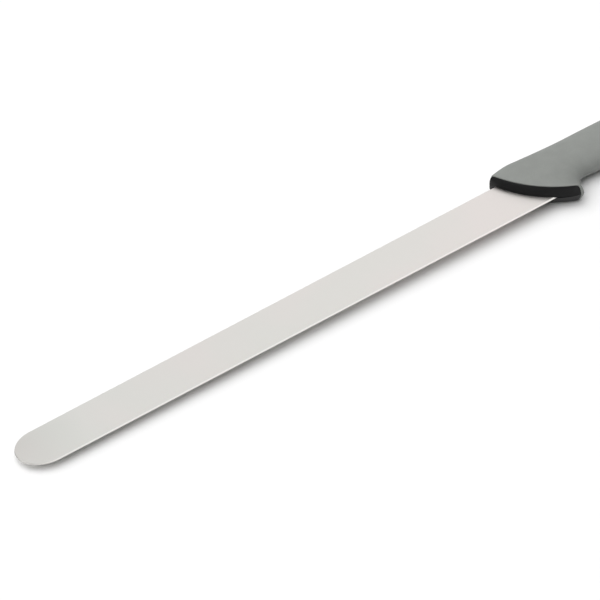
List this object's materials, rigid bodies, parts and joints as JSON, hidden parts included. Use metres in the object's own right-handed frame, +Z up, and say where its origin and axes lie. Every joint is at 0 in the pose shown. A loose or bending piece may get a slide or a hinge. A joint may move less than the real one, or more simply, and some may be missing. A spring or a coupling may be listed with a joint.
{
  "type": "ham knife",
  "caption": "Ham knife: a long straight narrow steel slicing blade with a round tip, fixed in a moulded two-plastic handle with a dark front collar, finger guard and grey grip.",
  "frame": {"origin": "on the surface that the knife lies on, under the middle of its bounding box", "axes": "+X along the knife from its tip to its butt, +Y towards the spine, with the cutting edge towards -Y, and +Z up, out of the side that faces up"},
  "size_m": [0.438, 0.0378, 0.0139],
  "materials": {
    "blade_steel": "fine satin ground stainless steel, with a narrow bright sharpened edge",
    "core_plastic": "hard black plastic with a low sheen",
    "grip_plastic": "matt mid-grey plastic with a fine moulded grain"
  },
  "bodies": {
    "root": {"blade": "blade_steel", "handle_core": "core_plastic", "grip": "grip_plastic"}
  },
  "joints": []
}
